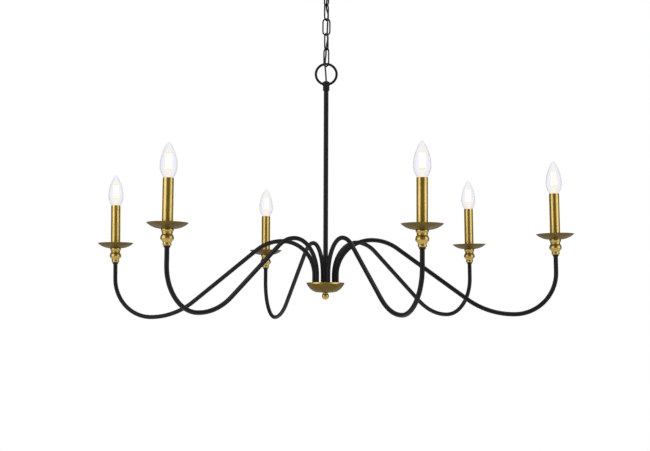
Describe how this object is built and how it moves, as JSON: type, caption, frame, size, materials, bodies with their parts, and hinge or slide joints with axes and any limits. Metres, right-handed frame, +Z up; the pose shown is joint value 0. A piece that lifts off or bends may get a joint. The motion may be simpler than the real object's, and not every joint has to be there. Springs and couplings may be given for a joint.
{
  "type": "chandelier",
  "caption": "Hanging chandelier with S-curved black tube arms, brass drip dishes, candle sleeves and torpedo lamps round a hub, hung by a chain from a ceiling canopy.",
  "frame": {"origin": "centre of the ceiling bracket's top face, where it meets the ceiling", "axes": "+Z up; -Y towards the front of the fixture; +X to its right seen from the front"},
  "size_m": [1.0389, 1.0094, 0.8126],
  "materials": {
    "black_paint": "satin black, faintly textured",
    "antique_brass": "satin antique",
    "zinc_steel": "zinc plated",
    "nickel": "nickel plated lamp cap",
    "phenolic": "moulded, dark",
    "lamp_glass": "clear",
    "cable_jacket": "matt black jacket"
  },
  "bodies": {
    "ceiling": {"ceiling_bracket": "zinc_steel", "nipple": "zinc_steel", "canopy_loop": "black_paint", "supply_cable": "cable_jacket"},
    "canopy": {"canopy": "black_paint"},
    "collar": {"collar_ring": "black_paint"},
    "link_top": {"link_top": "black_paint"},
    "link_5": {"link_5": "black_paint"},
    "link_4": {"link_4": "black_paint"},
    "link_3": {"link_3": "black_paint"},
    "link_2": {"link_2": "black_paint"},
    "link_end": {"link_end": "black_paint"},
    "fixture": {"stem_loop": "black_paint", "stem": "black_paint", "hub_plate": "zinc_steel", "centre_rod": "zinc_steel"},
    "dish": {"hub_dish": "antique_brass"},
    "finial": {"finial": "antique_brass"},
    "arm_1": {"arm_1": "black_paint", "cup_1": "antique_brass", "drip_dish_1": "antique_brass", "sleeve_1": "antique_brass", "lamp_holder_1": "phenolic"},
    "bulb_1": {"lamp_cap_1": "nickel", "lamp_glass_1": "lamp_glass"},
    "arm_2": {"arm_2": "black_paint", "cup_2": "antique_brass", "drip_dish_2": "antique_brass", "sleeve_2": "antique_brass", "lamp_holder_2": "phenolic"},
    "bulb_2": {"lamp_cap_2": "nickel", "lamp_glass_2": "lamp_glass"},
    "arm_3": {"arm_3": "black_paint", "cup_3": "antique_brass", "drip_dish_3": "antique_brass", "sleeve_3": "antique_brass", "lamp_holder_3": "phenolic"},
    "bulb_3": {"lamp_cap_3": "nickel", "lamp_glass_3": "lamp_glass"},
    "arm_4": {"arm_4": "black_paint", "cup_4": "antique_brass", "drip_dish_4": "antique_brass", "sleeve_4": "antique_brass", "lamp_holder_4": "phenolic"},
    "bulb_4": {"lamp_cap_4": "nickel", "lamp_glass_4": "lamp_glass"},
    "arm_5": {"arm_5": "black_paint", "cup_5": "antique_brass", "drip_dish_5": "antique_brass", "sleeve_5": "antique_brass", "lamp_holder_5": "phenolic"},
    "bulb_5": {"lamp_cap_5": "nickel", "lamp_glass_5": "lamp_glass"},
    "arm_6": {"arm_6": "black_paint", "cup_6": "antique_brass", "drip_dish_6": "antique_brass", "sleeve_6": "antique_brass", "lamp_holder_6": "phenolic"},
    "bulb_6": {"lamp_cap_6": "nickel", "lamp_glass_6": "lamp_glass"}
  },
  "joints": [
    {"name": "canopy_slide", "type": "slide", "parent": "ceiling", "child": "canopy", "axis": [0, 0, -1], "range_m": [0, 0.04], "deforming": ["supply_cable"]},
    {"name": "collar_turn", "type": "hinge", "parent": "canopy", "child": "collar", "pos_m": [0, 0, -0.033], "axis": [0, 0, 1], "continuous": true},
    {"name": "link_top_swing", "type": "hinge", "parent": "ceiling", "child": "link_top", "pos_m": [0, 0, -0.0603], "axis": [-0.5736, 0.8192, 0], "range_deg": [-8, 8], "deforming": ["supply_cable"]},
    {"name": "link_5_swing", "type": "hinge", "parent": "link_top", "child": "link_5", "pos_m": [0, 0, -0.09235], "axis": [0.8192, 0.5736, 0], "range_deg": [-8, 8], "deforming": ["supply_cable"]},
    {"name": "link_4_swing", "type": "hinge", "parent": "link_5", "child": "link_4", "pos_m": [0, 0, -0.12505], "axis": [-0.5736, 0.8192, 0], "range_deg": [-8, 8], "deforming": ["supply_cable"]},
    {"name": "link_3_swing", "type": "hinge", "parent": "link_4", "child": "link_3", "pos_m": [0, 0, -0.15775], "axis": [0.5299, 0.848, 0], "range_deg": [-8, 8], "deforming": ["supply_cable"]},
    {"name": "link_2_swing", "type": "hinge", "parent": "link_3", "child": "link_2", "pos_m": [0, 0, -0.19045], "axis": [0.9903, -0.1392, 0], "range_deg": [-8, 8], "deforming": ["supply_cable"]},
    {"name": "link_end_swing", "type": "hinge", "parent": "link_2", "child": "link_end", "pos_m": [0, 0, -0.22315], "axis": [0.4695, 0.8829, 0], "range_deg": [-8, 8], "deforming": ["supply_cable"]},
    {"name": "fixture_swing", "type": "hinge", "parent": "link_end", "child": "fixture", "pos_m": [0, 0, -0.25985], "axis": [-0.6691, 0.7431, 0], "range_deg": [-8, 8], "deforming": ["supply_cable"]},
    {"name": "dish_slide", "type": "slide", "parent": "fixture", "child": "dish", "axis": [0, 0, -1], "range_m": [0, 0.03]},
    {"name": "finial_turn", "type": "hinge", "parent": "dish", "child": "finial", "pos_m": [0, 0, -0.76055], "axis": [0, 0, 1], "continuous": true},
    {"name": "arm_1_swivel", "type": "hinge", "parent": "fixture", "child": "arm_1", "pos_m": [0.0058, -0.02452, -0.73955], "axis": [0, 0, 1], "range_deg": [-35, 35]},
    {"name": "bulb_1_pull", "type": "slide", "parent": "arm_1", "child": "bulb_1", "axis": [0, 0, 1], "range_m": [0, 0.03]},
    {"name": "arm_2_swivel", "type": "hinge", "parent": "fixture", "child": "arm_2", "pos_m": [0.02414, -0.00724, -0.73955], "axis": [0, 0, 1], "range_deg": [-35, 35]},
    {"name": "bulb_2_pull", "type": "slide", "parent": "arm_2", "child": "bulb_2", "axis": [-0.0181, 0.0029, 0.9998], "range_m": [0, 0.03]},
    {"name": "arm_3_swivel", "type": "hinge", "parent": "fixture", "child": "arm_3", "pos_m": [0.01834, 0.01728, -0.73955], "axis": [0, 0, 1], "range_deg": [-35, 35]},
    {"name": "bulb_3_pull", "type": "slide", "parent": "arm_3", "child": "bulb_3", "axis": [-0.0185, -0.0185, 0.9997], "range_m": [0, 0.03]},
    {"name": "arm_4_swivel", "type": "hinge", "parent": "fixture", "child": "arm_4", "pos_m": [-0.0058, 0.02452, -0.73955], "axis": [0, 0, 1], "range_deg": [-35, 35]},
    {"name": "bulb_4_pull", "type": "slide", "parent": "arm_4", "child": "bulb_4", "axis": [0.0005, -0.0017, 1], "range_m": [0, 0.03]},
    {"name": "arm_5_swivel", "type": "hinge", "parent": "fixture", "child": "arm_5", "pos_m": [-0.02414, 0.00724, -0.73955], "axis": [0, 0, 1], "range_deg": [-35, 35]},
    {"name": "bulb_5_pull", "type": "slide", "parent": "arm_5", "child": "bulb_5", "axis": [-0.0067, 0.0019, 1], "range_m": [0, 0.03]},
    {"name": "arm_6_swivel", "type": "hinge", "parent": "fixture", "child": "arm_6", "pos_m": [-0.01834, -0.01728, -0.73955], "axis": [0, 0, 1], "range_deg": [-35, 35]},
    {"name": "bulb_6_pull", "type": "slide", "parent": "arm_6", "child": "bulb_6", "axis": [0.0079, 0.0105, 0.9999], "range_m": [0, 0.03]}
  ]
}
